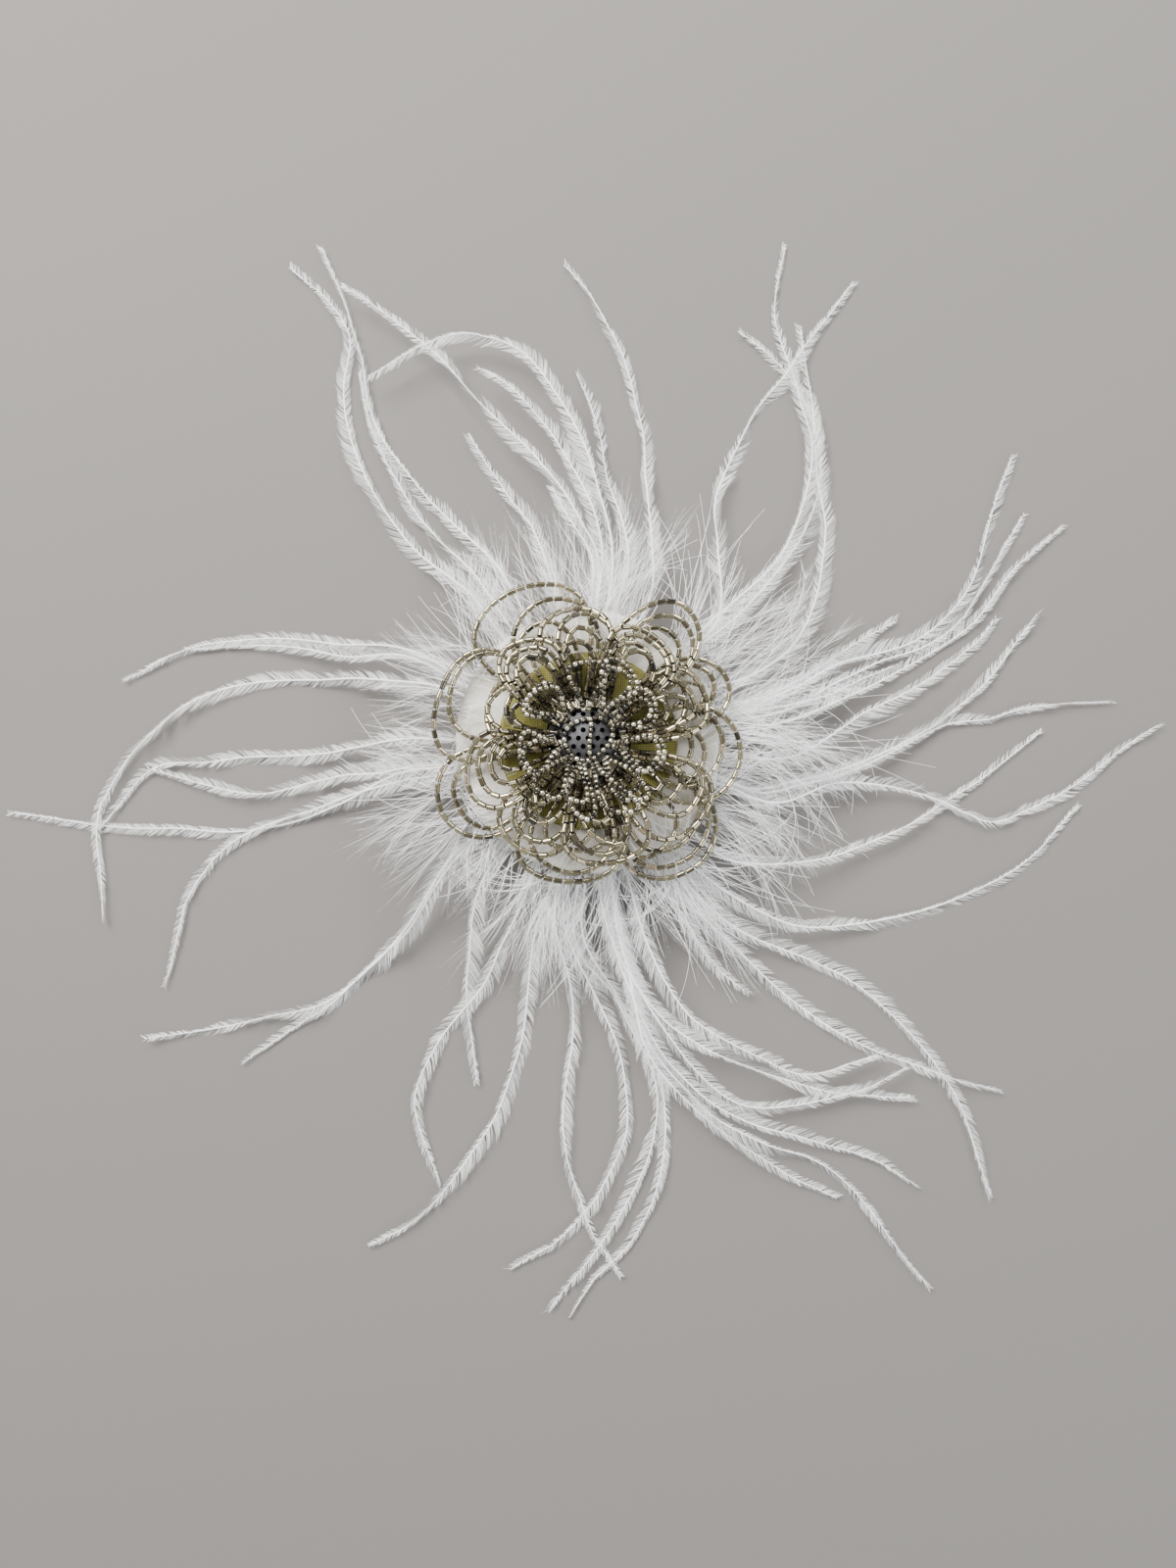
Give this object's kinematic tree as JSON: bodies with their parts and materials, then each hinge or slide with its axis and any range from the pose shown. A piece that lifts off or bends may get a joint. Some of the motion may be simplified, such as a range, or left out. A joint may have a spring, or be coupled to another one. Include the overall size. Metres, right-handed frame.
{
  "type": "feather and bead flower brooch",
  "caption": "Flower of looped glass bead strands on a felt disc over marabou fluff and long radiating ostrich strands, with a brooch pin and hair clip behind.",
  "frame": {"origin": "on the flower's axis, at the flat back of the hair clip's jaw, which lies on the surface", "axes": "+Z out of the flower's face, +X across the feathers' widest reach, +Y towards the top of the flower"},
  "size_m": [0.2815, 0.2625, 0.0284],
  "materials": {
    "nickel": "satin",
    "spring_steel": "satin",
    "sieve_metal": "satin",
    "felt": "matte",
    "gold_cloth": "satin",
    "bugle_glass": "gloss",
    "seed_glass": "gloss",
    "ostrich": "matte",
    "marabou": "matte"
  },
  "bodies": {
    "flower": {"clip_arm": "nickel", "clip_hinge_pin": "nickel", "clip_spring": "spring_steel", "pin_hinge_block": "nickel", "pin_rivet": "nickel", "pin_catch": "nickel", "back_plate": "nickel", "felt_back": "felt", "felt_front": "felt", "gold_disc": "gold_cloth", "sieve_plate": "sieve_metal", "sieve_dome": "sieve_metal", "outer_petal_1": "bugle_glass", "outer_petal_2": "bugle_glass", "outer_petal_3": "bugle_glass", "outer_petal_4": "bugle_glass", "outer_petal_5": "bugle_glass", "outer_petal_6": "bugle_glass", "outer_petal_7": "bugle_glass", "outer_petal_8": "bugle_glass", "middle_petal_1": "bugle_glass", "middle_petal_2": "bugle_glass", "middle_petal_3": "bugle_glass", "middle_petal_4": "bugle_glass", "middle_petal_5": "bugle_glass", "middle_petal_6": "bugle_glass", "middle_petal_7": "bugle_glass", "middle_petal_8": "bugle_glass", "middle_petal_9": "bugle_glass", "inner_petal_1": "seed_glass", "inner_petal_2": "seed_glass", "inner_petal_3": "seed_glass", "inner_petal_4": "seed_glass", "inner_petal_5": "seed_glass", "inner_petal_6": "seed_glass", "inner_petal_7": "seed_glass", "inner_petal_8": "seed_glass", "inner_petal_9": "seed_glass", "inner_petal_10": "seed_glass", "ostrich_right_upper": "ostrich", "ostrich_top_right": "ostrich", "ostrich_top": "ostrich", "ostrich_top_swept": "ostrich", "ostrich_top_left": "ostrich", "ostrich_left_upper": "ostrich", "ostrich_left": "ostrich", "ostrich_left_lower": "ostrich", "ostrich_bottom_left": "ostrich", "ostrich_bottom": "ostrich", "ostrich_bottom_right": "ostrich", "ostrich_right_lower": "ostrich", "ostrich_right": "ostrich", "marabou_tuft_1": "marabou", "marabou_tuft_2": "marabou", "marabou_tuft_3": "marabou", "marabou_tuft_4": "marabou", "marabou_tuft_5": "marabou"},
    "clip_jaw": {"clip_jaw": "nickel"},
    "brooch_pin": {"brooch_pin": "nickel"},
    "catch_collar": {"catch_collar": "nickel"}
  },
  "joints": [
    {"name": "clip_jaw_hinge", "type": "hinge", "parent": "flower", "child": "clip_jaw", "pos_m": [0.008, 0, 0.003], "axis": [0, -1, 0], "range_deg": [0, 20], "stiffness_Nm_per_rad": 0.004, "springref_deg": -28.65, "deforming": ["clip_spring"]},
    {"name": "brooch_pin_hinge", "type": "hinge", "parent": "flower", "child": "brooch_pin", "pos_m": [0.0095, 0.01, 0.0034], "axis": [0, -1, 0], "range_deg": [0, 75]},
    {"name": "catch_collar_turn", "type": "hinge", "parent": "flower", "child": "catch_collar", "pos_m": [-0.0095, 0.01, 0.0034], "axis": [-1, 0, 0], "range_deg": [0, 90]}
  ]
}
